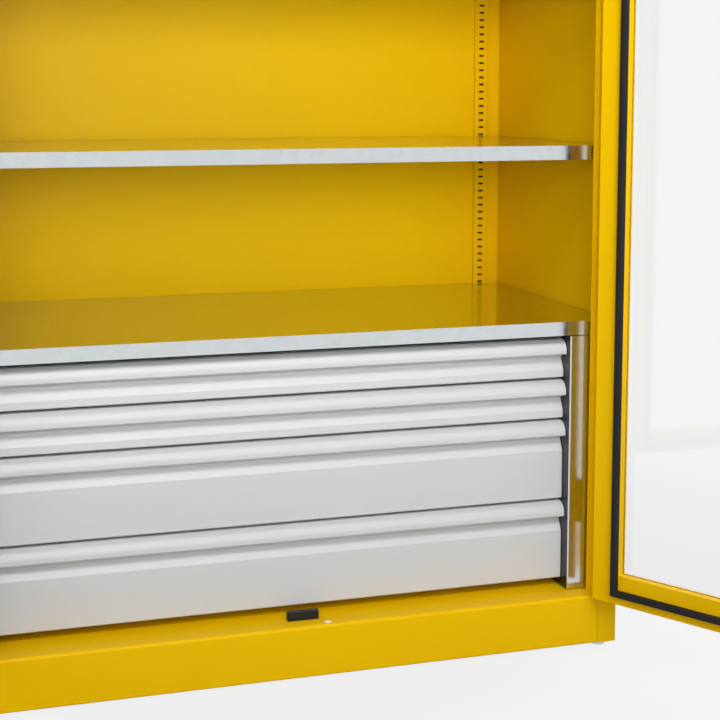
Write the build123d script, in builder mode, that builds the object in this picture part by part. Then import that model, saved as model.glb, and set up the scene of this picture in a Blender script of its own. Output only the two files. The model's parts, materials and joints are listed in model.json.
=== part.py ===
"""Tall workshop cabinet: glazed wing doors, adjustable shelves and a block of four drawers.

Millimetres. The origin is on the floor under the middle of the carcass, +X to the right as one
faces the doors, +Y to the rear and +Z up. The doors are drawn standing open.
"""

from build123d import *
from math import cos, radians, sin
import os

os.makedirs("parts", exist_ok=True)

# Carcass
width = 1200
depth = 600
height = 1950
sheet = 1.5
bend = 3
back_sheet = 1.2
seat_gap = 0.2
seam_gap = 0.8
running_gap = 0.3
overrun = 5
post_face = 46
post_return = 32
post_lip = 8
rear_return = 40
wall_flange = 44
fascia_height = 40
ledge_depth = 38
ledge_lip = 15
rear_flange = 30

# Base and feet
foot_gap = 10
plinth_height = 90
floor_sheet = 2
plinth_bend = 6
base_inset = 9
corner_face = 36.5
plinth_return = 30
plinth_lip = 15
foot_inset = 23
foot_back = 25
foot_pad = 24
foot_pad_height = 5
foot_stud = 10
foot_stud_height = 40
relief_length = 9
relief_width = 4
relief_back = 8
relief_in = 58.5

# Slotted rails and shelves
rail_sheet = 1.5
rail_face = 29
rail_rise = 8
rail_inset = 29
front_rail_back = 60
rail_end_gap = 8
slot_length = 11
slot_height = 4
slot_pitch = 15
slot_blank = 60
shelf_sheet = 1.2
shelf_thick = 25
shelf_back = 39
shelf_side_gap = 2.5
shelf_rear_gap = 1.3
shelf_lip = 15
shelf_count = 4
shelf_pitches = 21
first_shelf_bottom = 572
notch_gap = 1
clip_thick = 3.4
clip_width = 10
clip_reach = 14
clip_hook = 3.2
clip_drop = 6

# Drawer block
housing_inset = 90
housing_sheet = 1.5
housing_return = 20
housing_rear_gap = 12
housing_top_gap = 1.5
small_drawer = 75
large_drawer = 150
drawer_gap = 4.8
stack_gap = 10.5
front_gap = 1
front_sheet = 1.5
lip_back = 52
grip_depth = 18
grip_height = 26
grip_round = 12
grip_shoulder_share = 0.28
grip_drop_share = 0.24
grip_turn_share = 0.65
recess_depth = 25
recess_drop = 7
slant_height = 23
face_back = 13
front_bend = 3
recess_bend = 4
slant_bend = 2.5
tray_back = 90
tray_depth = 470
tray_sheet = 1.2
tray_drop = 18
tray_tab = 6
slide_space = 13
slide_sheet = 1.4
slide_height = 45
slide_length = 460
slide_front_gap = 5
slide_play = 0.4
slide_hold_share = 0.62
slide_step_share = 0.333

# Doors and hinges, the opening angle counted from shut
door_angle = 120
door_sheet = 1.2
door_thick = 20
door_gap = 3
stile = 53
lock_stile = 96
hinge_in = 45.5
hinge_edge = 2
hinge_radius = 6
hinge_pin = 6
pin_play = 0.15
knuckle = 40
leaf = 26
leaf_thick = 2.5
hinge_end = 150
hinge_count = 3
pane_thick = 5
pane_grip = 12
pane_play = 0.2
seal_width = 11
seal_height = 11.5
seal_round = 3
seal_inset = 42
seal_end = 16
strip_hold = 22
strip_cover = 15
strip_thick = 2
strip_relief = 0.5
strip_clear = 1
strip_end = 37
block_width = 56
block_height = 15
block_depth = 12
block_back = 32
block_right = 10

# Lock: a turning cam bar with two pins lifts the upper rod and lowers the other
lock_in = 48.5
lock_height = 1050
bolt_hole = 15
bolt_back = 15.6
rod = 8
rod_back = 13.5
rod_inset = 1
rod_play = 0.5
cam_reach = 17
cam_width = 14
cam_thick = 2.5
cam_back = 12
cam_throw = 14
cam_angle = 45
cam_pin = 5
slot_play = 0.7
yoke_thick = 2.5
yoke_back = 9
yoke_wall = 3
yoke_neck = 20
yoke_head = 14
spindle = 8
spindle_play = 0.15
spindle_end = 16.5
case_width = 44
case_height = 100
case_thick = 2
boss = 14
boss_height = 5.4
rosette = 36
rosette_thick = 5
rosette_edge = 1.5
hub = 24
handle_stand = 22
handle_thick = 12
handle_reach = 115
handle_tip = 14
handle_edge = 2
guide_width = 24
guide_height = 14
guide_end = 60
guide_lock = 90

# Places that follow from the sizes
half_width = width / 2
front = -depth / 2
rear = depth / 2
floor_top = foot_gap + plinth_height
wall_top = height - sheet
wall_in = half_width - sheet
back_front = rear - sheet - back_sheet
fascia_bottom = height - fascia_height
half_base = half_width - base_inset
seam = half_base - corner_face
post_in = half_width - post_face
housing_in = half_width - housing_inset
flange_top = floor_top + sheet
base_top = floor_top - floor_sheet
slot_zero = first_shelf_bottom - clip_thick / 2
shelf_step = shelf_pitches * slot_pitch
shelf_bottoms = [first_shelf_bottom + n * shelf_step for n in range(shelf_count)]
rail_out = wall_in - rail_inset
rail_front = back_front - rail_rise
side_rail_face = wall_in - rail_rise
side_rail_y = front + front_rail_back
drawer_pitches = (small_drawer, small_drawer, large_drawer, large_drawer)
tray_front = front + tray_back
tray_half = housing_in - slide_space
axis_x = half_width - hinge_in
axis_y = front - hinge_radius - running_gap
door_low = floor_top + door_gap
door_high = fascia_bottom - door_gap
door_near = hinge_edge
door_far = axis_x - door_gap / 2
lock_u = door_far - lock_in
along = (-cos(radians(door_angle)), -sin(radians(door_angle)))
inward = (-sin(radians(door_angle)), cos(radians(door_angle)))


def save(piece, name):
    """Label a finished piece and write it under its name."""
    piece.part.label = name
    export_step(piece.part, f"parts/{name}.step")


def save_pair(piece, name):
    """Write a right-hand piece and its mirror image on the left."""
    with BuildPart() as twin:
        mirror(piece.part, about=Plane.YZ)
    save(piece, f"{name}_right")
    save(twin, f"{name}_left")


def sheet_section(points, thickness, radii):
    """Section of a folded sheet in the current sketch: its outer line, thickened to its left."""
    outer = [Vector(*point) for point in points]
    runs = [(end - start).normalized() for start, end in zip(outer, outer[1:])]
    lefts = [Vector(-run.Y, run.X) for run in runs]
    inner = [outer[0] + lefts[0] * thickness]
    inner_radii = []
    for corner, before, after, radius in zip(outer[1:], lefts, lefts[1:], radii):
        inner.append(corner + (before + after) * (thickness / (1 + before.dot(after))))
        turns_left = before.X * after.Y > before.Y * after.X
        inner_radii.append(radius - thickness if turns_left else radius + thickness)
    inner.append(outer[-1] + lefts[-1] * thickness)
    with BuildLine(mode=Mode.PRIVATE) as edge:
        face_line = FilletPolyline(*outer, radius=radii)
        back_line = FilletPolyline(*inner, radius=inner_radii)
        Line(face_line @ 0, back_line @ 0)
        Line(face_line @ 1, back_line @ 1)
    make_face(edge.edges())


def block(x, y, z, mode=Mode.ADD):
    """A flat-sided block between pairs of limits, in the current part."""
    spans = [high - low for low, high in (x, y, z)]
    centre = [(low + high) / 2 for low, high in (x, y, z)]
    with Locations(tuple(centre)):
        Box(*spans, mode=mode)


def pane_of(u, z, mode=Mode.ADD):
    """A rectangle between pairs of limits, in the current sketch."""
    with Locations(((u[0] + u[1]) / 2, (z[0] + z[1]) / 2)):
        Rectangle(u[1] - u[0], z[1] - z[0], mode=mode)


def grown(limits, amount):
    """A pair of limits moved apart by an amount at each end."""
    return (limits[0] - amount, limits[1] + amount)


# Side walls: one sheet folded into the hinge post, the wall and the rear return
with BuildPart() as side_panel:
    with BuildSketch(Plane.XY.offset(floor_top)):
        sheet_section(
            [
                (post_in - post_lip, front + post_return),
                (post_in, front + post_return),
                (post_in, front),
                (half_width, front),
                (half_width, rear),
                (half_width - rear_return, rear),
            ],
            sheet,
            [bend] * 4,
        )
    extrude(amount=wall_top - floor_top)
    block(
        (post_in - post_lip, post_in),
        (front + post_return - bend, front + post_return + sheet),
        (fascia_bottom - seat_gap, wall_top),
        Mode.SUBTRACT,
    )
    for low in (floor_top, wall_top - sheet):
        block(
            (half_width - wall_flange, wall_in),
            (front + post_return + sheet, back_front),
            (low, low + sheet),
        )
save_pair(side_panel, "side_panel")

with BuildPart() as back_panel:
    block(
        (bend + seat_gap - half_width, half_width - bend - seat_gap),
        (back_front, rear - sheet),
        (floor_top, height - bend - seat_gap),
    )
save(back_panel, "back_panel")

# Top: a flat sheet over the walls, folded down into the front fascia and the door ledge
with BuildPart() as top_panel:
    fascia_half = post_in - seat_gap
    with BuildSketch(Plane.YZ.offset(-fascia_half)):
        sheet_section(
            [
                (rear, height - rear_flange),
                (rear, height),
                (front, height),
                (front, fascia_bottom),
                (front + ledge_depth, fascia_bottom),
                (front + ledge_depth, fascia_bottom + ledge_lip),
            ],
            sheet,
            [bend] * 4,
        )
    extrude(amount=2 * fascia_half)
    for side in (-1, 1):
        block(
            tuple(sorted((side * fascia_half, side * half_width))),
            (front, rear),
            (wall_top, height),
        )
    with Locations((lock_in + door_gap / 2, front + bolt_back, fascia_bottom)):
        Cylinder(bolt_hole / 2, 2 * overrun, mode=Mode.SUBTRACT)
save(top_panel, "top_panel")

# Floor: one sheet folded down over a rounded edge into the plinth
with BuildPart() as floor_panel:
    plinth_half = seam - seam_gap
    with BuildSketch(Plane.YZ.offset(-plinth_half)):
        sheet_section(
            [
                (rear - sheet, floor_top),
                (front, floor_top),
                (front, foot_gap),
                (front + plinth_return, foot_gap),
                (front + plinth_return, foot_gap + plinth_lip),
            ],
            floor_sheet,
            [plinth_bend, bend, bend],
        )
    extrude(amount=2 * plinth_half)
    for side in (-1, 1):
        block(
            tuple(sorted((side * plinth_half, side * half_base))),
            (front, rear - sheet),
            (base_top, floor_top),
        )
        with BuildSketch(Plane.XY.offset(base_top)):
            with Locations((side * (half_width - relief_in), front + relief_back)):
                SlotOverall(relief_length, relief_width)
        extrude(amount=floor_sheet, mode=Mode.SUBTRACT)
    with Locations((lock_in + door_gap / 2, front + bolt_back, floor_top)):
        Cylinder(bolt_hole / 2, 2 * overrun, mode=Mode.SUBTRACT)
save(floor_panel, "floor_panel")

# Base: side channels with folded corners, a rear strip and screw feet
foot_x = half_base - foot_inset
foot_places = [(foot_x, front + foot_back), (foot_x, rear - foot_back)]

with BuildPart() as base_side:
    block((seam, half_base), (front, rear), (foot_gap, base_top))
    fillet(base_side.edges().filter_by(Axis.Z).group_by(Axis.X)[-1], bend)
    block(
        (seam, half_base - sheet),
        (front + sheet, rear - sheet),
        (foot_gap + sheet, base_top - sheet),
        Mode.SUBTRACT,
    )
    with Locations(*[(x, y, foot_gap) for x, y in foot_places]):
        Cylinder(foot_stud / 2 + running_gap, 2 * overrun, mode=Mode.SUBTRACT)
save_pair(base_side, "base_side")

with BuildPart() as base_rear:
    rear_half = seam - seat_gap
    with BuildSketch(Plane.YZ.offset(-rear_half)):
        sheet_section(
            [
                (rear - plinth_return, foot_gap),
                (rear, foot_gap),
                (rear, base_top),
                (rear - plinth_return, base_top),
            ],
            sheet,
            [bend] * 2,
        )
    extrude(amount=2 * rear_half)
save(base_rear, "base_rear")

with BuildPart() as levelling_feet:
    for side in (-1, 1):
        for x, y in foot_places:
            spot = (side * x, y)
            with BuildSketch():
                with Locations(spot):
                    Circle(foot_pad / 2)
            extrude(amount=foot_pad_height)
            with BuildSketch(Plane.XY.offset(foot_pad_height)):
                with Locations(spot):
                    RegularPolygon(foot_pad / 2 - seat_gap, 6)
            extrude(amount=foot_gap - foot_pad_height)
            with BuildSketch(Plane.XY.offset(foot_gap)):
                with Locations(spot):
                    Circle(foot_stud / 2)
            extrude(amount=foot_stud_height)
save(levelling_feet, "levelling_feet")

# Slotted rails: hat sections, two on the back panel and two on the side walls
rail_top = wall_top - sheet - rail_end_gap
rail_length = rail_top - flange_top
slot_count = int((rail_top - slot_blank - slot_zero) // slot_pitch) + 1
slot_middle = slot_zero + (slot_count - 1) * slot_pitch / 2


def slot_rows():
    """The column of slots, in a sketch whose origin is at the column's middle."""
    with GridLocations(0, slot_pitch, 1, slot_count):
        Rectangle(slot_length, slot_height)


with BuildPart() as rear_rail:
    with BuildSketch(Plane.XY.offset(flange_top)):
        sheet_section(
            [
                (rail_out - rail_face, back_front),
                (rail_out - rail_face, rail_front),
                (rail_out, rail_front),
                (rail_out, back_front),
            ],
            rail_sheet,
            [rail_sheet + seat_gap] * 2,
        )
    extrude(amount=rail_length)
    rail_mid = rail_out - rail_face / 2
    with BuildSketch(Plane((rail_mid, rail_front, slot_middle), x_dir=(1, 0, 0), z_dir=(0, -1, 0))):
        slot_rows()
    extrude(amount=-rail_sheet, mode=Mode.SUBTRACT)
save_pair(rear_rail, "rear_rail")

with BuildPart() as front_rail:
    with BuildSketch(Plane.XY.offset(flange_top)):
        sheet_section(
            [
                (wall_in, side_rail_y + rail_face),
                (side_rail_face, side_rail_y + rail_face),
                (side_rail_face, side_rail_y),
                (wall_in, side_rail_y),
            ],
            rail_sheet,
            [rail_sheet + seat_gap] * 2,
        )
    extrude(amount=rail_length)
    side_mid = side_rail_y + rail_face / 2
    with BuildSketch(Plane((side_rail_face, side_mid, slot_middle), x_dir=(0, 1, 0), z_dir=(1, 0, 0))):
        slot_rows()
    extrude(amount=rail_sheet, mode=Mode.SUBTRACT)
save_pair(front_rail, "front_rail")

# Shelves: trays folded down all round, notched round the rails and turned under at the front
shelf_half = wall_in - shelf_side_gap
shelf_front = front + shelf_back
shelf_rear = back_front - shelf_rear_gap


def shelf_outline():
    """A shelf seen from above, in the current sketch."""
    pane_of((-shelf_half, shelf_half), (shelf_front, shelf_rear))
    for side in (-1, 1):
        pane_of(
            tuple(sorted((side * (rail_out + notch_gap), side * (rail_out - rail_face - notch_gap)))),
            (rail_front - notch_gap, shelf_rear),
            Mode.SUBTRACT,
        )
        pane_of(
            tuple(sorted((side * (side_rail_face - notch_gap), side * shelf_half))),
            grown((side_rail_y, side_rail_y + rail_face), notch_gap),
            Mode.SUBTRACT,
        )


for number, low in enumerate(shelf_bottoms, start=1):
    with BuildPart() as shelf:
        with BuildSketch(Plane.XY.offset(low)):
            shelf_outline()
        extrude(amount=shelf_thick)
        with BuildSketch(Plane.XY.offset(low)):
            shelf_outline()
            offset(amount=-shelf_sheet, kind=Kind.INTERSECTION, mode=Mode.REPLACE)
        extrude(amount=shelf_thick - shelf_sheet, mode=Mode.SUBTRACT)
        block(
            (-shelf_half + shelf_sheet, shelf_half - shelf_sheet),
            (shelf_front + shelf_sheet, shelf_front + shelf_lip),
            (low, low + shelf_sheet),
        )
    save(shelf, f"shelf_{number}")


def clip_section(face):
    """A shelf clip from the side: a tongue through the slot with a hook turned down behind it."""
    behind = face + rail_sheet + running_gap
    with BuildLine(mode=Mode.PRIVATE) as edge:
        Polyline(
            (face - clip_reach, -clip_thick),
            (behind, -clip_thick),
            (behind, -clip_thick - clip_drop),
            (behind + clip_hook, -clip_thick - clip_drop),
            (behind + clip_hook, 0),
            (face - clip_reach, 0),
            close=True,
        )
    make_face(edge.edges())


with BuildPart() as shelf_clips:
    for low in shelf_bottoms:
        for side in (-1, 1):
            rear_x = side * rail_mid - clip_width / 2
            with BuildSketch(Plane((rear_x, 0, low), x_dir=(0, 1, 0), z_dir=(1, 0, 0))):
                clip_section(rail_front)
            extrude(amount=clip_width)
            side_y = side_mid + side * clip_width / 2
            with BuildSketch(Plane((0, side_y, low), x_dir=(side, 0, 0), z_dir=(0, -side, 0))):
                clip_section(side_rail_face)
            extrude(amount=clip_width)
save(shelf_clips, "shelf_clips")

# Drawer block: two upright housing sheets carry the slides
with BuildPart() as housing:
    with BuildSketch(Plane.XY.offset(flange_top)):
        sheet_section(
            [
                (housing_in + housing_return, back_front - housing_rear_gap),
                (housing_in, back_front - housing_rear_gap),
                (housing_in, shelf_front),
                (shelf_half, shelf_front),
            ],
            housing_sheet,
            [bend] * 2,
        )
    extrude(amount=first_shelf_bottom - housing_top_gap - flange_top)
save_pair(housing, "drawer_housing")

front_half = housing_in - front_gap
lip_y = front + lip_back
front_radii = [front_bend, grip_round, grip_round, grip_round, front_bend, recess_bend, slant_bend, front_bend]


def front_points(low, high):
    """The outer line of a drawer front, from its rear tab over the grip down to its lower return."""
    under = high - grip_height - recess_drop
    return [
        (tray_front, high - tray_drop - tray_tab),
        (tray_front, high),
        (lip_y + grip_depth, high),
        (lip_y + grip_depth * grip_shoulder_share, high - grip_height * grip_drop_share),
        (lip_y, high - grip_height * grip_turn_share),
        (lip_y, high - grip_height),
        (lip_y + recess_depth, under),
        (lip_y + face_back, under - slant_height),
        (lip_y + face_back, low),
        (tray_front, low),
    ]


def slide_member(x_web, x_edge, half, start):
    """A pair of slide members: channels with their webs and flange edges at these places."""
    for side in (-1, 1):
        lead = 1 if x_edge > x_web else -1
        inner = x_web + lead * slide_sheet
        plane = Plane((0, start, slide_level), x_dir=(side, 0, 0), z_dir=(0, -side, 0))
        with BuildSketch(plane) as section:
            pane_of(tuple(sorted((x_web, x_edge))), (-half, half))
            pane_of(
                tuple(sorted((inner, x_edge))),
                (slide_sheet - half, half - slide_sheet),
                Mode.SUBTRACT,
            )
        extrude(section.sketch, amount=-side * slide_length)


slide_start = tray_front + slide_front_gap
slide_reach = slide_space * slide_hold_share
outer_half = slide_height / 2
middle_half = outer_half - slide_sheet - slide_play
inner_half = middle_half - slide_sheet - slide_play
middle_web = housing_in - slide_space * slide_step_share
stack_top = first_shelf_bottom - stack_gap

for number in range(1, len(drawer_pitches) + 1):
    high = stack_top - sum(drawer_pitches[: number - 1])
    low = high - drawer_pitches[number - 1] + drawer_gap
    points = front_points(low, high)
    with BuildPart() as drawer_front:
        with BuildSketch(Plane.YZ.offset(-front_half)):
            sheet_section(points, front_sheet, front_radii)
        extrude(amount=2 * front_half)
        for start in (-front_half, front_half - front_sheet):
            with BuildSketch(Plane.YZ.offset(start)):
                with BuildLine():
                    outline = FilletPolyline(*points, radius=front_radii)
                    Line(outline @ 1, outline @ 0)
                make_face()
            extrude(amount=front_sheet)
    save(drawer_front, f"drawer_{number}_front")

    with BuildPart() as tray:
        tray_high = high - tray_drop
        block((-tray_half, tray_half), (tray_front, tray_front + tray_depth), (low, tray_high))
        block(
            (tray_sheet - tray_half, tray_half - tray_sheet),
            (tray_front + tray_sheet, tray_front + tray_depth - tray_sheet),
            (low + tray_sheet, tray_high),
            Mode.SUBTRACT,
        )
    save(tray, f"drawer_{number}_tray")

    slide_level = (low + tray_high) / 2
    with BuildPart() as cabinet_rails:
        slide_member(housing_in, housing_in - slide_reach, outer_half, slide_start)
    save(cabinet_rails, f"drawer_{number}_cabinet_rails")
    with BuildPart() as middle_rails:
        slide_member(middle_web, middle_web - slide_reach * slide_hold_share, middle_half, slide_start)
    save(middle_rails, f"drawer_{number}_middle_rails")
    with BuildPart() as tray_rails:
        slide_member(tray_half, tray_half + slide_reach * slide_hold_share, inner_half, slide_start)
    save(tray_rails, f"drawer_{number}_tray_rails")

with BuildPart() as door_stop_block:
    block(
        (block_right - block_width / 2, block_right + block_width / 2),
        (front + block_back, front + block_back + block_depth),
        (floor_top, floor_top + block_height),
    )
    fillet(door_stop_block.edges().filter_by(Axis.Z), front_bend)
save(door_stop_block, "door_stop_block")


# Doors: drawn on the right in planes that turn about the hinge axis, then mirrored
def door_face(back):
    """The upright plane parallel to the door, this far behind its outer face."""
    reach = hinge_radius + running_gap + back
    spot = (axis_x + inward[0] * reach, axis_y + inward[1] * reach, 0)
    return Plane(spot, x_dir=(*along, 0), z_dir=(*inward, 0))


def door_level(z):
    """The level plane at this height, with X along the door and Y outwards from the hinge axis."""
    return Plane((axis_x, axis_y, z), x_dir=(*along, 0), z_dir=(0, 0, 1))


def depth_of(back):
    """Where a distance behind the outer face lies along Y of a level door plane."""
    return -(hinge_radius + running_gap + back)


door_u = (door_near, door_far)
door_z = (door_low, door_high)
window_u = (door_near + stile, door_far - lock_stile)
window_z = grown(door_z, -stile)

with BuildPart() as door_frame:
    with BuildSketch(door_face(0)):
        pane_of(door_u, door_z)
        pane_of(window_u, window_z, Mode.SUBTRACT)
    extrude(amount=door_thick)
    with BuildSketch(door_face(door_sheet)):
        pane_of(grown(door_u, -door_sheet), grown(door_z, -door_sheet))
        pane_of(grown(window_u, door_sheet), grown(window_z, door_sheet), Mode.SUBTRACT)
    extrude(amount=door_thick - 2 * door_sheet, mode=Mode.SUBTRACT)
    with BuildSketch(door_face(door_sheet)):
        pane_of(grown(window_u, pane_grip + pane_play), grown(window_z, pane_grip + pane_play))
    extrude(amount=pane_thick + pane_play, mode=Mode.SUBTRACT)
with BuildPart() as lock_door_frame:
    add(door_frame.part)
    for level in (door_low, door_high - door_sheet):
        with BuildSketch(door_level(level)):
            with Locations((lock_u, depth_of(rod_back))):
                Circle(rod / 2 + rod_play)
        extrude(amount=door_sheet, mode=Mode.SUBTRACT)
    with BuildSketch(door_face(0)):
        with Locations((lock_u, lock_height)):
            Circle(spindle / 2 + rod_play)
    extrude(amount=door_sheet, mode=Mode.SUBTRACT)
with BuildPart() as plain_door_frame:
    mirror(door_frame.part, about=Plane.YZ)
save(lock_door_frame, "door_frame_right")
save(plain_door_frame, "door_frame_left")

with BuildPart() as door_pane:
    with BuildSketch(door_face(door_sheet)):
        pane_of(grown(window_u, pane_grip), grown(window_z, pane_grip))
    extrude(amount=pane_thick)
save_pair(door_pane, "door_pane")

with BuildPart() as door_seal:
    seal_u = grown(door_u, -seal_inset)
    seal_z = grown(door_z, -seal_end)
    with BuildSketch(door_face(door_thick)):
        pane_of(seal_u, seal_z)
        pane_of(grown(seal_u, -seal_width), grown(seal_z, -seal_width), Mode.SUBTRACT)
    extrude(amount=seal_height)
    crown = door_seal.faces().sort_by(Axis((0, 0, 0), (*inward, 0)))[-1]
    fillet(crown.edges(), seal_round)
save_pair(door_seal, "door_seal")

# Lift-off hinges outside: the lower half with its pin on the post, the upper half on the door
hinge_span = door_high - door_low - 2 * hinge_end
hinge_levels = [door_low + hinge_end + n * hinge_span / (hinge_count - 1) for n in range(hinge_count)]


def barrel(plane, leaf_y, bore):
    """One hinge half on a level plane: a knuckle with its leaf, and a bore where one is given."""
    with BuildSketch(plane) as section:
        Circle(hinge_radius)
        pane_of((0, leaf), leaf_y)
        if bore:
            Circle(bore / 2, mode=Mode.SUBTRACT)
    extrude(section.sketch, amount=knuckle - running_gap / 2)


leaf_front = hinge_radius + running_gap - leaf_thick
leaf_back = hinge_radius + running_gap
with BuildPart() as post_knuckle:
    for level in hinge_levels:
        post_plane = Plane((axis_x, axis_y, level - knuckle), x_dir=(1, 0, 0), z_dir=(0, 0, 1))
        barrel(post_plane, (leaf_front, leaf_back), 0)
        with BuildSketch(Plane.XY.offset(level - running_gap / 2)):
            with Locations((axis_x, axis_y)):
                Circle(hinge_pin / 2)
        extrude(amount=knuckle + running_gap / 2)
with BuildPart() as post_hinges:
    add(post_knuckle.part)
    mirror(post_knuckle.part, about=Plane.YZ)
save(post_hinges, "post_hinges")

with BuildPart() as door_knuckles:
    for level in hinge_levels:
        barrel(door_level(level + running_gap / 2), (-leaf_back, -leaf_front), hinge_pin + 2 * pin_play)
save_pair(door_knuckles, "door_hinge")

# Strip on the left door that the right door shuts against
with BuildPart() as strip_right:
    strip_z = grown(door_z, -strip_end)
    with BuildSketch(door_face(door_thick)):
        pane_of((door_far - strip_hold, door_far + door_gap + strip_cover), strip_z)
    extrude(amount=strip_thick)
    with BuildSketch(door_face(door_thick)):
        pane_of((door_far + strip_clear, door_far + door_gap + strip_cover), strip_z)
    extrude(amount=strip_relief, mode=Mode.SUBTRACT)
with BuildPart() as meeting_strip:
    mirror(strip_right.part, about=Plane.YZ)
save(meeting_strip, "meeting_strip")

# Lock on the right door
with BuildPart() as lock_case:
    with BuildSketch(door_face(door_sheet)):
        with Locations((lock_u, lock_height)):
            Rectangle(case_width, case_height)
    extrude(amount=case_thick)
    with BuildSketch(door_face(door_sheet + case_thick)):
        with Locations((lock_u, lock_height)):
            Circle(boss / 2)
    extrude(amount=boss_height)
    with BuildSketch(door_face(door_sheet)):
        with Locations((lock_u, lock_height)):
            Circle(spindle / 2 + spindle_play)
    extrude(amount=case_thick + boss_height, mode=Mode.SUBTRACT)
save(lock_case, "lock_case")

with BuildPart() as lock_rosette:
    with BuildSketch(door_face(0)):
        with Locations((lock_u, lock_height)):
            Rectangle(rosette, rosette)
            Circle(spindle / 2 + spindle_play, mode=Mode.SUBTRACT)
    extrude(amount=-rosette_thick)
    rim = lock_rosette.faces().sort_by(Axis((0, 0, 0), (*inward, 0)))[0].edges()
    chamfer(rim.filter_by(GeomType.LINE), rosette_edge)
save(lock_rosette, "lock_rosette")

with BuildPart() as lock_handle:
    with BuildSketch(door_face(-handle_stand)):
        with Locations((lock_u, lock_height)):
            Circle(hub / 2)
        with Locations((lock_u - handle_reach, lock_height)):
            Circle(handle_tip / 2)
        make_hull()
    extrude(amount=handle_thick)
    face_edges = lock_handle.faces().sort_by(Axis((0, 0, 0), (*inward, 0)))[0].edges()
    chamfer(face_edges, handle_edge)
    with BuildSketch(door_face(-handle_stand + handle_thick)):
        with Locations((lock_u, lock_height)):
            Circle(hub / 2)
    extrude(amount=handle_stand - handle_thick - rosette_thick - running_gap)
    with BuildSketch(door_face(-rosette_thick - running_gap)):
        with Locations((lock_u, lock_height)):
            Circle(spindle / 2)
    extrude(amount=rosette_thick + running_gap + spindle_end)
save(lock_handle, "lock_handle")

pin_places = [
    (lock_u + s * cam_throw * cos(radians(cam_angle)), lock_height - s * cam_throw * sin(radians(cam_angle)))
    for s in (-1, 1)
]
with BuildPart() as lock_cam:
    with BuildSketch(door_face(cam_back)):
        with Locations((lock_u, lock_height)):
            Rectangle(2 * cam_reach, cam_width, rotation=-cam_angle)
            Circle(spindle / 2 + spindle_play, mode=Mode.SUBTRACT)
    extrude(amount=cam_thick)
    with BuildSketch(door_face(cam_back)):
        with Locations(*pin_places):
            Circle(cam_pin / 2)
    extrude(amount=yoke_back - cam_back)
save(lock_cam, "lock_cam")


def lock_rod(turn, tip):
    """A rod with the slotted yoke that a cam pin moves; turn is 1 for the upper rod, -1 for the lower."""
    slot_low = cam_throw * cos(radians(cam_angle)) - cam_pin / 2 - slot_play
    slot_far = cam_throw + cam_pin / 2 + slot_play
    slot_mid = -cam_throw * sin(radians(cam_angle))
    slot_half = cam_pin / 2 + slot_play
    place = door_face(yoke_back)
    x_dir = place.x_dir * turn
    yoke_plane = Plane(place.from_local_coords((lock_u, lock_height, 0)), x_dir=x_dir, z_dir=place.z_dir)
    yoke_near = spindle / 2 + rod_play
    yoke_low = slot_mid - slot_half - yoke_wall
    with BuildPart() as piece:
        with BuildSketch(yoke_plane):
            pane_of((yoke_near, slot_far + yoke_wall), (yoke_low, yoke_neck + yoke_head))
            pane_of((-rod / 2, yoke_near), (yoke_neck, yoke_neck + yoke_head))
            pane_of((slot_low, slot_far), (slot_mid - slot_half, slot_mid + slot_half), Mode.SUBTRACT)
        extrude(amount=yoke_thick)
        with BuildSketch(door_level(lock_height + turn * yoke_neck)):
            with Locations((lock_u, depth_of(rod_back))):
                Circle(rod / 2)
        extrude(amount=tip - lock_height - turn * yoke_neck)
    return piece


save(lock_rod(1, door_high - rod_inset), "lock_rod_upper")
save(lock_rod(-1, door_low + rod_inset), "lock_rod_lower")

with BuildPart() as rod_guides:
    guide_levels = [
        door_low + guide_end,
        lock_height - guide_lock,
        lock_height + guide_lock,
        door_high - guide_end,
    ]
    for level in guide_levels:
        with BuildSketch(door_level(level - guide_height / 2)):
            pane_of(
                grown((lock_u, lock_u), guide_width / 2),
                (depth_of(door_thick - door_sheet), depth_of(door_sheet)),
            )
            with Locations((lock_u, depth_of(rod_back))):
                Circle(rod / 2 + running_gap, mode=Mode.SUBTRACT)
        extrude(amount=guide_height)
save(rod_guides, "rod_guides")
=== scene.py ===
"""Looks of a tall workshop cabinet: painted sheet, galvanised shelves, grey drawers and clear doors."""

import json
from math import cos, pi, radians, sin

import bmesh
import bpy
from bpy.props import FloatProperty, FloatVectorProperty, IntProperty, PointerProperty
from mathutils import Matrix, Vector


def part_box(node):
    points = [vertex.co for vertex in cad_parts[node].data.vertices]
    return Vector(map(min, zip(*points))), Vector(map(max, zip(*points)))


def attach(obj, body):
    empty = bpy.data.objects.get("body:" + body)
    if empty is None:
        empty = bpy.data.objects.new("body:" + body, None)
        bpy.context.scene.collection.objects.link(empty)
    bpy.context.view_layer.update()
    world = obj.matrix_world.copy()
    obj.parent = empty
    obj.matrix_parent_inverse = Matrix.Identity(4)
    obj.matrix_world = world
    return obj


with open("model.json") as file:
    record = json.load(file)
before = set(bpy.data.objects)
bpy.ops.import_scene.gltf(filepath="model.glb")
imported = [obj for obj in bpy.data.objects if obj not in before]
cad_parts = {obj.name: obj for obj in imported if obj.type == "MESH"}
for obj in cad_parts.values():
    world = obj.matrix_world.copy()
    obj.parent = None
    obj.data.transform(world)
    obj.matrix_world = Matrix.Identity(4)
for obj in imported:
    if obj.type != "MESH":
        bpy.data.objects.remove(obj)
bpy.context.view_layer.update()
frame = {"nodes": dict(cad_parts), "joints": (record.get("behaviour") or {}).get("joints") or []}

bl_info = {
    "name": "Workshop cabinet finishes",
    "version": (1, 0, 0),
    "blender": (4, 5, 0),
    "location": "View3D > Sidebar > Cabinet",
    "description": "Dresses the glazed workshop cabinet and sets it in a plain studio",
    "category": "Object",
}

nodes = frame["nodes"]
joints = {joint["name"]: joint for joint in frame["joints"]}

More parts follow.
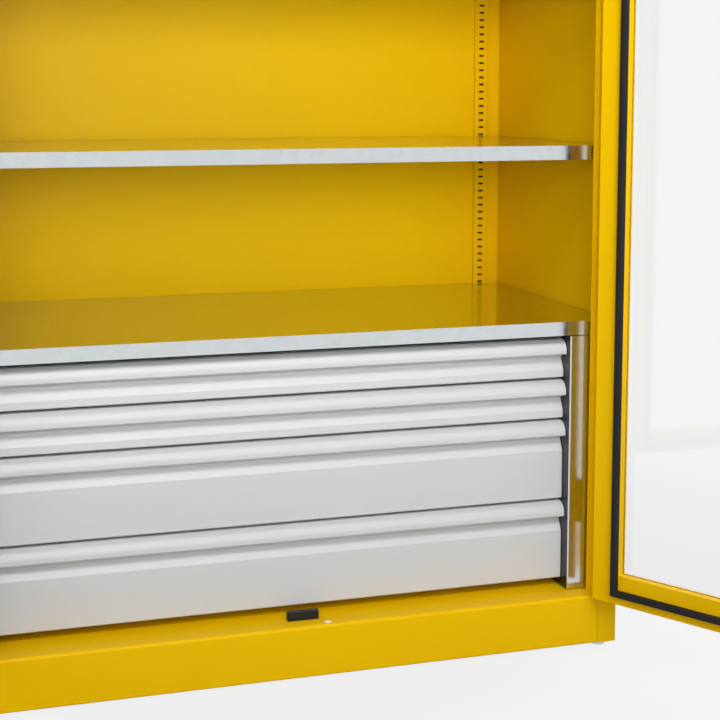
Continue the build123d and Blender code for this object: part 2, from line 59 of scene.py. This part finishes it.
DRAWERS = range(1, 5)
RAILS = ["rear_rail_left", "rear_rail_right", "front_rail_left", "front_rail_right"]
PAINTED = [
    "side_panel_left", "side_panel_right", "back_panel", "top_panel", "floor_panel",
    "base_side_left", "base_side_right", "base_rear", *RAILS, "post_hinges",
]
DOOR_SHEETS = [
    "door_frame_left", "door_frame_right", "door_hinge_left", "door_hinge_right", "meeting_strip",
]
SHELF_SHEETS = ["shelf_1", "shelf_2", "shelf_3", "shelf_4"]
HOUSING_SHEETS = ["drawer_housing_left", "drawer_housing_right"]
LOCK_METAL = ["lock_case", "lock_rosette", "lock_cam", "lock_rod_upper", "lock_rod_lower"]

# Hinges, as they are in the CAD: height of a knuckle, way from the pin to the middle of a leaf,
# and how deep the faces of the two leaves lie.
KNUCKLE = 0.04
LEAF_MIDDLE = 0.0165
POST_LEAF_DEPTH = 0.0098
DOOR_LEAF_DEPTH = 0.0038

# Dark strip behind a rail's slots, painted shade for the rail's shadowed hollow: what it leaves free at
# the sides and ends, and its section.
SHADE_STRIP_MARGIN = 0.004
SHADE_STRIP_END = 0.02
SHADE_STRIP_SLOPE = 0.0015
SHADE_STRIP_BACK = 0.0003
SHADE_STRIP_SHOULDER = 0.0006
SHADE_STRIP_TOP = 0.0012

# Turned pieces from the outside in. Screws: shares of the head's radius and of its rise.
SCREW_TURNS = ((0.8, -1.0), (1.0, 0.0), (0.97, 0.6), (0.86, 1.0))
SOCKET_TURNS = ((0.54, 1.0), (0.5, 0.7), (0.5, -0.8))
# Lock cylinder: shares of its radius, and levels in metres.
CYLINDER_TURNS = (
    (1.0, -0.001), (1.0, 0.0008), (0.93, 0.0013), (0.78, 0.0013),
    (0.75, 0.0007), (0.70, 0.0007), (0.67, 0.0012),
)
KEYHOLE_TURNS = ((0.5, 0.13, 0.0012), (0.48, 0.11, -0.0008))

# The housing's inner faces, which get painted shade, are those that lie no further out than this past
# its inner edge.
HOUSING_FACE = 0.0004
# How solid the panes look in the viewport.
VIEWPORT_ALPHA = 0.25

FLOOR_HALF = 30.0
CAMERA_REACH = 200.0
CABINET_MIDDLE = (0, 0, 0.9)
LAMPS = (
    {"name": "front_lamp", "power": "front", "size": (7.0, 2.2), "spot": (-0.8, -9.0, 1.7)},
    {"name": "middle_lamp", "power": "middle", "size": (1.6, 0.8), "spot": (-0.3, -2.4, 1.25),
     "target": (0.1, 0.1, 1.2), "spread": radians(70)},
    {"name": "high_lamp", "power": "above", "size": (4.4, 1.6), "spot": (-0.4, -4.4, 4.4),
     "target": (0, -0.3, 0.4), "mirrored": True},
    {"name": "side_lamp", "power": "side", "size": (2.0, 1.6), "spot": (-3.6, -3.6, 1.5)},
    {"name": "rear_lamp", "power": "behind", "size": (4.0, 2.0), "spot": (0, 5.0, 2.4)},
    {"name": "flank_lamp", "power": "flank", "size": (2.0, 2.0), "spot": (-4.4, 1.4, 3.2)},
    {"name": "flank_lamp", "power": "flank", "size": (2.0, 2.0), "spot": (4.4, 1.4, 3.2)},
)


class Finishes(bpy.types.PropertyGroup):
    """Colours and surface grades of the cabinet's materials."""

    yellow: FloatVectorProperty(
        name="Yellow paint", description="Powder coat of the carcass and the doors",
        subtype="COLOR", size=3, min=0, max=1, default=(0.905, 0.547, 0.001))
    grey: FloatVectorProperty(
        name="Grey paint", description="Textured powder coat of the drawers",
        subtype="COLOR", size=3, min=0, max=1, default=(0.61, 0.622, 0.64))
    galvanised: FloatVectorProperty(
        name="Galvanised sheet",
        description="Bare zinc-dipped sheet of the shelves and the drawer housing",
        subtype="COLOR", size=3, min=0, max=1, default=(0.63, 0.665, 0.68))
    zinc: FloatVectorProperty(
        name="Zinc plate", description="Plated slides, rods, clips and feet",
        subtype="COLOR", size=3, min=0, max=1, default=(0.62, 0.63, 0.64))
    rubber: FloatVectorProperty(
        name="Rubber", description="Foam rubber of the door seals",
        subtype="COLOR", size=3, min=0, max=1, default=(0.014, 0.0125, 0.0115))
    plastic: FloatVectorProperty(
        name="Moulded plastic", description="Door handle, rod guides and stop block",
        subtype="COLOR", size=3, min=0, max=1, default=(0.011, 0.0098, 0.0090))
    pane: FloatVectorProperty(
        name="Clear sheet", description="Tint of the door panes",
        subtype="COLOR", size=3, min=0, max=1, default=(0.95, 0.955, 0.955))
    paint_roughness: FloatProperty(
        name="Paint roughness", description="Roughness of the yellow powder coat",
        subtype="FACTOR", min=0, max=1, default=0.36)
    peel: FloatProperty(
        name="Orange peel", description="Depth of the ripple in the powder coat",
        unit="LENGTH", subtype="DISTANCE", min=0, max=0.001, default=0.00006)
    block_edge: FloatProperty(
        name="Block edge", description="Radius of the stop block's moulded edges",
        unit="LENGTH", subtype="DISTANCE", min=0, max=0.003, default=0.001)


class Fittings(bpy.types.PropertyGroup):
    """Sizes of the small fasteners and of the lock cylinder."""

    screw_head: FloatProperty(
        name="Screw head", description="Diameter of a hinge screw's head",
        unit="LENGTH", subtype="DISTANCE", min=0.004, max=0.012, default=0.0076)
    screw_rise: FloatProperty(
        name="Screw rise", description="How far a screw head stands out of its leaf",
        unit="LENGTH", subtype="DISTANCE", min=0.0001, max=0.002, default=0.0005)
    screw_spacing: FloatProperty(
        name="Screw spacing", description="Distance between the two screws of a leaf",
        unit="LENGTH", subtype="DISTANCE", min=0.01, max=0.04, default=0.022)
    key_face: FloatProperty(
        name="Lock cylinder", description="Diameter of the lock cylinder in the handle's hub",
        unit="LENGTH", subtype="DISTANCE", min=0.006, max=0.02, default=0.0135)
    sides: IntProperty(
        name="Sides", description="Number of sides of a turned piece", min=12, max=96, default=36)


class Studio(bpy.types.PropertyGroup):
    """Camera and light."""

    stand: FloatVectorProperty(
        name="Camera place", description="Where the camera stands",
        unit="LENGTH", subtype="XYZ", size=3, default=(-0.6406, -2.6816, 1.0129))
    heading: FloatProperty(
        name="Heading", description="Turn of the camera to the right of straight back",
        unit="ROTATION", subtype="ANGLE", default=radians(17.32))
    pitch: FloatProperty(
        name="Pitch", description="Tilt of the camera below level",
        unit="ROTATION", subtype="ANGLE", default=radians(6.52))
    lens: FloatProperty(
        name="Lens", description="Focal length in millimetres", min=20, max=200, default=74.88)
    drop: FloatProperty(
        name="Frame drop", description="How far the frame lies below the lens axis, in frame widths",
        min=0, max=0.5, default=0.14)
    ambient: FloatProperty(
        name="Ambient light", description="Strength of the even white light all round",
        min=0, max=2, default=0.08)
    front: FloatProperty(
        name="Front light", description="Power of the broad lamp far behind the camera",
        min=0, max=2000, default=135)
    middle: FloatProperty(
        name="Middle light", description="Power of the narrow lamp that reaches the back wall",
        min=0, max=500, default=6.5)
    above: FloatProperty(
        name="High light", description="Power of the lamp high in front of the cabinet",
        min=0, max=2000, default=172)
    side: FloatProperty(
        name="Side light", description="Power of the lamp to the left of the front",
        min=0, max=500, default=28)
    behind: FloatProperty(
        name="Rear light", description="Power of the lamp that lights the cabinet's back",
        min=0, max=500, default=140)
    flank: FloatProperty(
        name="Flank light", description="Power of each lamp that lights an outer side and the top",
        min=0, max=500, default=140)


class Flow:
    """A socket of a material's node; sums with it become Math nodes."""

    def __init__(self, finish, socket):
        self.finish = finish
        self.socket = socket

    def out(self, name):
        """Another output of the same node."""
        return Flow(self.finish, self.socket.node.outputs[name])

    def sum(self, operation, first, second):
        return self.finish.node("ShaderNodeMath", {"operation": operation}, {0: first, 1: second})

    def __add__(self, other):
        return self.sum("ADD", self, other)

    def __radd__(self, other):
        return self.sum("ADD", other, self)

    def __sub__(self, other):
        return self.sum("SUBTRACT", self, other)

    def __rsub__(self, other):
        return self.sum("SUBTRACT", other, self)

    def __mul__(self, other):
        return self.sum("MULTIPLY", self, other)

    def __pow__(self, other):
        return self.sum("POWER", self, other)

    def clamped(self):
        """The same value held between 0 and 1."""
        return self.finish.node("ShaderNodeClamp", {}, {"Value": self})


class Finish:
    """A material, or the world, as it is put together from nodes."""

    def __init__(self, holder):
        holder.use_nodes = True
        self.holder = holder
        self.tree = holder.node_tree
        self.tree.nodes.clear()

    def node(self, kind, settings=None, sockets=None):
        """Add a node: its settings first, then the values or links of its sockets."""
        made = self.tree.nodes.new(kind)
        for name, value in (settings or {}).items():
            if name == "stops":
                ramp = made.color_ramp.elements
                while len(ramp) < len(value):
                    ramp.new(1)
                for stop, (place, shade) in zip(ramp, value):
                    stop.position = place
                    stop.color = (shade, shade, shade, 1)
            else:
                setattr(made, name, value)
        for name, value in (sockets or {}).items():
            socket = made.inputs[name]
            if isinstance(value, Flow):
                self.tree.links.new(value.socket, socket)
            else:
                socket.default_value = value
        return Flow(self, next(o for o in made.outputs if o.enabled)) if made.outputs else None

    def place(self, stretch=(1, 1, 1)):
        """Coordinates that stay with the piece, in metres, stretched along each axis."""
        spot = self.node("ShaderNodeTexCoord").out("Object")
        return self.node("ShaderNodeMapping", {}, {"Vector": spot, "Scale": stretch})

    def noise(self, scale, detail, stretch=(1, 1, 1)):
        """Soft noise with this many features to the metre."""
        sockets = {"Vector": self.place(stretch), "Scale": scale, "Detail": detail}
        return self.node("ShaderNodeTexNoise", {"noise_dimensions": "3D"}, sockets).out("Fac")

    def ramp(self, value, low, high):
        """Stretch a part of a value's range to run from black to white."""
        stops = {"stops": [(low, 0), (high, 1)]}
        return self.node("ShaderNodeValToRGB", stops, {"Fac": value}).out("Color")

    def between(self, share, first, second):
        """A colour between two, by a share; 6, 7 and 2 are the Mix node's colour sockets."""
        sockets = {"Factor": share, 6: first, 7: second}
        return self.node("ShaderNodeMix", {"data_type": "RGBA"}, sockets).out(2)

    def bump(self, height, depth, strength=1.0):
        sockets = {"Height": height, "Distance": depth, "Strength": strength}
        return self.node("ShaderNodeBump", {}, sockets)

    def seen(self):
        """1 for a ray that comes from the camera, a mirror or a clear sheet, and 0 for light."""
        ray = self.node("ShaderNodeLightPath")
        looks = ray.out("Is Camera Ray") + ray.out("Is Glossy Ray") + ray.out("Is Transmission Ray")
        return looks.clamped()

    def close(self, shader, target="ShaderNodeOutputMaterial"):
        """Send the finished shader to the output."""
        self.node(target, {}, {"Surface": shader})
        return self.holder


def shade(colour, share):
    """A colour made darker or lighter by a share, with its alpha."""
    return (*[min(1.0, channel * share) for channel in colour], 1.0)


def made_once(make):
    """Build a material the first time it is asked for, and hand out the same one after that."""
    def material(name, colour, **grades):
        known = bpy.data.materials.get(name)
        if known:
            return known
        finish = Finish(bpy.data.materials.new(name))
        made = finish.close(make(finish, colour, **grades))
        made.diffuse_color = shade(colour, 1)
        return made
    return material


@made_once
def powder_coat(finish, colour, roughness, peel, grain, gloss):
    """Powder-coated sheet: slow drift of tone, grain of the coat and a fine ripple."""
    drift = finish.noise(scale=2.4, detail=3.0)
    fleck = finish.noise(scale=grain * 0.5, detail=1.0)
    ripple = finish.noise(scale=grain, detail=2.0)
    tone = finish.between(drift, shade(colour, 0.965), shade(colour, 1.03))
    tone = finish.between(fleck * 0.22, tone, shade(colour, 0.9))
    rough = roughness + (drift - 0.5) * 0.10 + (ripple - 0.5) * 0.08
    return finish.node("ShaderNodeBsdfPrincipled", {}, {
        "Base Color": tone, "Roughness": rough.clamped(), "Metallic": 0.0, "IOR": 1.5,
        "Specular IOR Level": gloss, "Normal": finish.bump(ripple, peel)})


@made_once
def zinc_dipped(finish, colour, painted_shade_half=0.0):
    """Galvanised sheet: crystal spangle, rolling lines and dull patches.

    Faces less than the given half-width to either side of the cabinet's middle plane lie in the
    gap beside the drawers: they are duller, and their colour is made dark as painted shade."""
    sockets = {"Vector": finish.place(), "Scale": 70.0, "Randomness": 1.0}
    cell = finish.node("ShaderNodeTexVoronoi", {"feature": "F1"}, sockets).out("Color")
    crystal = finish.node("ShaderNodeSeparateColor", {"mode": "RGB"}, {"Color": cell}).out("Red")
    rolled = finish.noise(scale=90.0, detail=2.0, stretch=(0.04, 1, 1))
    patch = finish.noise(scale=5.0, detail=4.0)
    tone = finish.between(crystal, shade(colour, 0.97), shade(colour, 1.03))
    tone = finish.between(patch * 0.25, tone, shade(colour, 0.92))
    rough = 0.10 + crystal * 0.03 + rolled * 0.03 + patch * 0.03
    # Painted shade: faces in the gap beside the drawers get a dark colour that stands in for the shade
    # there.
    if painted_shade_half:
        across = finish.node("ShaderNodeSeparateXYZ", {}, {"Vector": finish.place()}).out("X")
        offset = finish.node("ShaderNodeMath", {"operation": "ABSOLUTE"}, {0: across})
        inner = offset.sum("LESS_THAN", offset, painted_shade_half)
        tone = finish.between(inner, tone, shade(colour, 0.12))
        rough = rough + inner * 0.25
    return finish.node("ShaderNodeBsdfPrincipled", {}, {
        "Base Color": tone, "Roughness": rough.clamped(), "Metallic": 1.0,
        "Normal": finish.bump(rolled, depth=0.00001, strength=0.3)})


@made_once
def zinc_plated(finish, colour):
    """Bright plate with drawn lines and small dull spots."""
    drawn = finish.noise(scale=260.0, detail=2.0, stretch=(1, 0.05, 1))
    spot = finish.noise(scale=40.0, detail=3.0)
    tone = finish.between(spot, shade(colour, 0.9), shade(colour, 1.06))
    rough = 0.26 + drawn * 0.1 + spot * 0.08
    return finish.node("ShaderNodeBsdfPrincipled", {}, {
        "Base Color": tone, "Roughness": rough.clamped(), "Metallic": 1.0,
        "Normal": finish.bump(drawn, depth=0.00003, strength=0.6)})


@made_once
def moulded(finish, colour, roughness, pores, depth):
    """Matt black moulding or foam with a pored skin."""
    pored = finish.noise(scale=pores, detail=3.0)
    cloud = finish.noise(scale=14.0, detail=3.0)
    tone = finish.between(cloud, shade(colour, 0.85), shade(colour, 1.35))
    rough = roughness + (pored - 0.5) * 0.2
    return finish.node("ShaderNodeBsdfPrincipled", {}, {
        "Base Color": tone, "Roughness": rough.clamped(), "IOR": 1.48,
        "Specular IOR Level": 0.3, "Normal": finish.bump(pored, depth)})


@made_once
def clear(finish, tint):
    """Clear plastic sheet: see-through, with gloss that grows at a glance and a trace of dust."""
    dust = finish.noise(scale=9.0, detail=6.0)
    glance = finish.node("ShaderNodeLayerWeight", {}, {"Blend": 0.5}).out("Facing")
    through = finish.node("ShaderNodeBsdfTransparent", {}, {"Color": shade(tint, 1)})
    gloss = finish.node("ShaderNodeBsdfGlossy", {}, {"Color": (1, 1, 1, 1), "Roughness": 0.03})
    share = (0.035 + glance ** 5.0 * 0.8 + dust * 0.015).clamped()
    return finish.node("ShaderNodeMixShader", {}, {0: share, 1: through, 2: gloss})


def yellow_paint():
    grade = bpy.context.scene.cabinet_finishes
    return powder_coat(
        "yellow_powder_coat", grade.yellow,
        roughness=grade.paint_roughness, peel=grade.peel, grain=700.0, gloss=0.08)


def grey_paint():
    grade = bpy.context.scene.cabinet_finishes
    return powder_coat(
        "grey_textured_coat", grade.grey,
        roughness=0.4, peel=grade.peel * 1.5, grain=1100.0, gloss=0.5)


def galvanised_sheet():
    return zinc_dipped("zinc_dipped_steel", bpy.context.scene.cabinet_finishes.galvanised)


def housing_sheet():
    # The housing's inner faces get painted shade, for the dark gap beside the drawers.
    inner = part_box("drawer_housing_right")[0].x
    colour = bpy.context.scene.cabinet_finishes.galvanised
    return zinc_dipped("housing_steel", colour, painted_shade_half=inner + HOUSING_FACE)


def zinc_plate():
    return zinc_plated("zinc_plated_steel", bpy.context.scene.cabinet_finishes.zinc)


def black_rubber():
    colour = bpy.context.scene.cabinet_finishes.rubber
    return moulded("black_foam_rubber", colour, roughness=0.85, pores=1600.0, depth=0.0002)


def black_plastic():
    colour = bpy.context.scene.cabinet_finishes.plastic
    return moulded("black_moulded_plastic", colour, roughness=0.5, pores=2200.0, depth=0.00005)


def clear_sheet():
    tint = bpy.context.scene.cabinet_finishes.pane
    made = clear("clear_sheet", tint)
    made.diffuse_color = (*tint, VIEWPORT_ALPHA)
    return made


def dress(names, material, rounding=0.0):
    """Give CAD pieces a material and, where asked, softly rounded edges."""
    for name in names:
        piece = nodes[name]
        piece.data.materials.clear()
        piece.data.materials.append(material)
        if rounding:
            edge = piece.modifiers.new("edge", "BEVEL")
            edge.width = rounding
            edge.segments = 2
            edge.limit_method = "ANGLE"
            edge.angle_limit = radians(50)
            edge.harden_normals = True


def ring(sides, reach, level):
    """Points round an axis at one level, as far out as reach gives for each angle."""
    angles = [2 * pi * n / sides for n in range(sides)]
    return [Vector((cos(a) * reach(a), sin(a) * reach(a), level)) for a in angles]


def round_of(radius):
    return lambda angle: radius


def hexagon_of(radius):
    return lambda angle: radius * cos(pi / 6) / cos((angle % (pi / 3)) - pi / 6)


def slot_of(half_length, half_width):
    def reach(angle):
        along, aside = max(abs(cos(angle)), 1e-6), max(abs(sin(angle)), 1e-6)
        return min(half_length / along, half_width / aside)
    return reach


def skin(mesh, rings, matrix):
    """Close a row of rings into one solid, in place by a matrix."""
    rows = [[mesh.verts.new(matrix @ point) for point in points] for points in rings]
    count = len(rows[0])
    for low, high in zip(rows, rows[1:]):
        for n in range(count):
            after = (n + 1) % count
            mesh.faces.new((low[n], low[after], high[after], high[n]))
    mesh.faces.new(list(reversed(rows[0])))
    mesh.faces.new(rows[-1])


def settle(mesh, name, body, material):
    """Turn a finished mesh into a piece that rides on a body."""
    bmesh.ops.recalc_face_normals(mesh, faces=mesh.faces)
    data = bpy.data.meshes.new(name)
    mesh.to_mesh(data)
    mesh.free()
    piece = bpy.data.objects.new(name, data)
    bpy.context.scene.collection.objects.link(piece)
    data.materials.append(material)
    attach(piece, body)


def facing(spot, normal, across):
    """The matrix that puts a piece's own Z along a normal and its X along across."""
    z = Vector(normal).normalized()
    x = Vector(across).normalized()
    turn = Matrix((x, z.cross(x), z)).transposed().to_4x4()
    return Matrix.Translation(Vector(spot)) @ turn


class CABINET_OT_carcass(bpy.types.Operator):
    """Paint the carcass, its base and its slotted rails, and set dark painted-shade strips behind the
    rails' slots
    """

    bl_idname = "cabinet.carcass"
    bl_label = "Carcass"

    def shade_strip(self, mesh, name):
        """A dark strip behind the slots of one rail: painted shade for the rail's shadowed hollow."""
        low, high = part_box(name)
        middle = (low + high) / 2
        rear = name.startswith("rear")
        inward = Vector((0, -1, 0)) if rear else Vector((-1 if middle.x > 0 else 1, 0, 0))
        across = Vector((1, 0, 0)) if rear else Vector((0, 1, 0))
        half = (high - low).dot(across) / 2 - SHADE_STRIP_MARGIN
        seat = middle - inward * abs((high - low).dot(inward)) / 2
        seat.z = low.z
        section = [
            (-half, SHADE_STRIP_SHOULDER), (SHADE_STRIP_SLOPE - half, SHADE_STRIP_TOP),
            (half - SHADE_STRIP_SLOPE, SHADE_STRIP_TOP), (half, SHADE_STRIP_SHOULDER),
            (half, SHADE_STRIP_BACK), (-half, SHADE_STRIP_BACK),
        ]
        rings = []
        for level in (SHADE_STRIP_END, high.z - low.z - SHADE_STRIP_END):
            up = Vector((0, 0, level))
            rings.append([across * side + inward * rise + up for side, rise in section])
        skin(mesh, rings, Matrix.Translation(seat))

    def execute(self, context):
        dress(PAINTED, yellow_paint())
        dress(["levelling_feet"], zinc_plate())
        dress(["door_stop_block"], black_plastic(), context.scene.cabinet_finishes.block_edge)
        # The dark strips behind the rails' slots are painted shade; they take the black rubber of the
        # seals.
        mesh = bmesh.new()
        for name in RAILS:
            self.shade_strip(mesh, name)
        settle(mesh, "rail_linings", "carcass", black_rubber())
        return {"FINISHED"}


class CABINET_OT_shelves(bpy.types.Operator):
    """Give the shelves and the drawer housing bare galvanised sheet, with painted shade on the
    housing's inner faces, and plate the clips
    """

    bl_idname = "cabinet.shelves"
    bl_label = "Shelves"

    def execute(self, context):
        dress(SHELF_SHEETS, galvanised_sheet())
        dress(HOUSING_SHEETS, housing_sheet())
        dress(["shelf_clips"], zinc_plate())
        return {"FINISHED"}


class CABINET_OT_drawers(bpy.types.Operator):
    """Paint the drawers grey and plate their slides"""

    bl_idname = "cabinet.drawers"
    bl_label = "Drawers"

    def execute(self, context):
        for number in DRAWERS:
            dress([f"drawer_{number}_front", f"drawer_{number}_tray"], grey_paint())
            rails = [f"drawer_{number}_{member}_rails" for member in ("cabinet", "middle", "tray")]
            dress(rails, zinc_plate())
        return {"FINISHED"}


class CABINET_OT_doors(bpy.types.Operator):
    """Paint the door frames, clear the panes and blacken the seals"""

    bl_idname = "cabinet.doors"
    bl_label = "Doors"

    def execute(self, context):
        dress(DOOR_SHEETS, yellow_paint())
        dress(["door_pane_left", "door_pane_right"], clear_sheet())
        dress(["door_seal_left", "door_seal_right"], black_rubber())
        return {"FINISHED"}


class CABINET_OT_hinge_screws(bpy.types.Operator):
    """Set two socket screws in each leaf of the hinges"""

    bl_idname = "cabinet.hinge_screws"
    bl_label = "Hinge screws"

    def screw(self, mesh, fittings, matrix):
        head = fittings.screw_head / 2
        rise = fittings.screw_rise
        sides = fittings.sides
        rings = [ring(sides, round_of(head * out), rise * up) for out, up in SCREW_TURNS]
        rings += [ring(sides, hexagon_of(head * out), rise * up) for out, up in SOCKET_TURNS]
        skin(mesh, rings, matrix)

    def leaves(self):
        """Middle, outward and sideways direction of each leaf's face, by body."""
        found = {"carcass": [], "right_door": [], "left_door": []}
        low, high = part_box("post_hinges")
        levels = [low.z, (low.z + high.z) / 2 - KNUCKLE, high.z - 2 * KNUCKLE]
        for side, name in ((1, "right"), (-1, "left")):
            hinge = joints[f"{name}_door_hinge"]
            axis = Vector(hinge["pos_m"])
            opening = radians(-hinge["range_deg"][0])
            along = Vector((-side * cos(opening), -sin(opening), 0))
            outward = Vector((side * sin(opening), -cos(opening), 0))
            for level in levels:
                post = Vector((axis.x + side * LEAF_MIDDLE, low.y + POST_LEAF_DEPTH, 0))
                post.z = level + KNUCKLE / 2
                found["carcass"].append((post, Vector((0, -1, 0)), Vector((side, 0, 0))))
                leaf = axis + along * LEAF_MIDDLE - outward * DOOR_LEAF_DEPTH
                leaf.z = level + KNUCKLE * 1.5
                found[f"{name}_door"].append((leaf, outward, along))
        return found

    def execute(self, context):
        fittings = context.scene.cabinet_fittings
        for body, spots in self.leaves().items():
            mesh = bmesh.new()
            for spot, normal, across in spots:
                for step in (-0.5, 0.5):
                    lifted = spot + Vector((0, 0, step * fittings.screw_spacing))
                    self.screw(mesh, fittings, facing(lifted, normal, across))
            settle(mesh, f"hinge_screws_{body}", body, zinc_plate())
        return {"FINISHED"}


class CABINET_OT_lock(bpy.types.Operator):
    """Finish the rod lock and set the key cylinder in the handle's hub"""

    bl_idname = "cabinet.lock"
    bl_label = "Lock"

    def execute(self, context):
        fittings = context.scene.cabinet_fittings
        dress(["lock_handle", "rod_guides"], black_plastic())
        dress(LOCK_METAL, zinc_plate())
        turn = joints["lock_turn"]
        inward = Vector(turn["axis"])
        centre = Vector(turn["pos_m"])
        points = [Vector(vertex.co) for vertex in nodes["lock_handle"].data.vertices]
        depth = max((centre - point).dot(inward) for point in points)
        face = centre - inward * depth
        radius = fittings.key_face / 2
        sides = fittings.sides
        rings = [ring(sides, round_of(radius * out), level) for out, level in CYLINDER_TURNS]
        for length, width, level in KEYHOLE_TURNS:
            rings.append(ring(sides, slot_of(radius * length, radius * width), level))
        mesh = bmesh.new()
        skin(mesh, rings, facing(face, -inward, (0, 0, 1)))
        settle(mesh, "lock_cylinder", "lock_spindle", zinc_plate())
        return {"FINISHED"}


class CABINET_OT_stage(bpy.types.Operator):
    """Lay the floor and set the lamps and the camera"""

    bl_idname = "cabinet.stage"
    bl_label = "Stage"

    def floor(self):
        """A white floor that shows the object's shadow most clearly close to it."""
        mesh = bmesh.new()
        bmesh.ops.create_grid(mesh, x_segments=1, y_segments=1, size=FLOOR_HALF)
        data = bpy.data.meshes.new("floor")
        mesh.to_mesh(data)
        mesh.free()
        ground = bpy.data.objects.new("floor", data)
        bpy.context.scene.collection.objects.link(ground)
        finish = Finish(bpy.data.materials.new("pale_floor"))
        sockets = {"Vector": finish.place((0.45, 0.45, 1))}
        near = finish.node("ShaderNodeTexGradient", {"gradient_type": "SPHERICAL"}, sockets)
        share = 1.0 - finish.ramp(near.out("Fac"), low=0.1, high=0.8) * 0.17
        matt = finish.node("ShaderNodeBsdfDiffuse", {}, {"Color": (0.3, 0.3, 0.3, 1)})
        glow = finish.node("ShaderNodeEmission", {}, {"Color": (1, 1, 1, 1), "Strength": 1.0})
        sockets = {0: finish.seen() * share, 1: matt, 2: glow}
        data.materials.append(finish.close(finish.node("ShaderNodeMixShader", {}, sockets)))

    def lamp(self, name, power, size, spot, target=CABINET_MIDDLE, mirrored=False, spread=pi):
        """A soft rectangular lamp that only shows in mirrors if asked."""
        data = bpy.data.lights.new(name, "AREA")
        data.shape = "RECTANGLE"
        data.size, data.size_y = size
        data.energy = getattr(bpy.context.scene.cabinet_studio, power)
        data.spread = spread
        made = bpy.data.objects.new(name, data)
        made.location = spot
        made.visible_camera = False
        made.visible_glossy = mirrored
        aim = Vector(target) - Vector(spot)
        made.rotation_euler = aim.to_track_quat("-Z", "Y").to_euler()
        bpy.context.scene.collection.objects.link(made)

    def sky(self, scene):
        """Even light all round, faint as light but white to the eye and in mirrors."""
        ambient = scene.cabinet_studio.ambient
        scene.world = scene.world or bpy.data.worlds.new("studio")
        finish = Finish(scene.world)
        strength = ambient + finish.seen() * (1.0 - ambient)
        sockets = {"Color": (1, 1, 1, 1), "Strength": strength}
        finish.close(finish.node("ShaderNodeBackground", {}, sockets), "ShaderNodeOutputWorld")

    def camera(self, scene):
        studio = scene.cabinet_studio
        data = bpy.data.cameras.new("camera")
        data.lens = studio.lens
        data.shift_y = -studio.drop
        data.clip_end = CAMERA_REACH
        made = bpy.data.objects.new("camera", data)
        made.location = studio.stand
        made.rotation_euler = (pi / 2 - studio.pitch, 0, -studio.heading)
        scene.collection.objects.link(made)
        scene.camera = made

    def execute(self, context):
        self.floor()
        for settings in LAMPS:
            self.lamp(**settings)
        self.sky(context.scene)
        self.camera(context.scene)
        context.scene.view_settings.view_transform = "Standard"
        return {"FINISHED"}


OPERATORS = (
    CABINET_OT_carcass, CABINET_OT_shelves, CABINET_OT_drawers, CABINET_OT_doors,
    CABINET_OT_hinge_screws, CABINET_OT_lock, CABINET_OT_stage,
)


class CABINET_PT_panel(bpy.types.Panel):
    """The cabinet's steps in the sidebar"""

    bl_idname = "CABINET_PT_panel"
    bl_label = "Cabinet"
    bl_space_type = "VIEW_3D"
    bl_region_type = "UI"
    bl_category = "Cabinet"

    def draw(self, context):
        for operator in OPERATORS:
            self.layout.operator(operator.bl_idname)


GROUPS = {"cabinet_finishes": Finishes, "cabinet_fittings": Fittings, "cabinet_studio": Studio}


def register():
    for name, group in GROUPS.items():
        bpy.utils.register_class(group)
        setattr(bpy.types.Scene, name, PointerProperty(type=group))
    for made in (*OPERATORS, CABINET_PT_panel):
        bpy.utils.register_class(made)


def unregister():
    for made in reversed((*OPERATORS, CABINET_PT_panel)):
        bpy.utils.unregister_class(made)
    for name, group in GROUPS.items():
        delattr(bpy.types.Scene, name)
        bpy.utils.unregister_class(group)


def main():
    register()
    bpy.ops.cabinet.carcass()
    bpy.ops.cabinet.shelves()
    bpy.ops.cabinet.drawers()
    bpy.ops.cabinet.doors()
    bpy.ops.cabinet.hinge_screws()
    bpy.ops.cabinet.lock()
    bpy.ops.cabinet.stage()


if __name__ == "__main__":
    main()
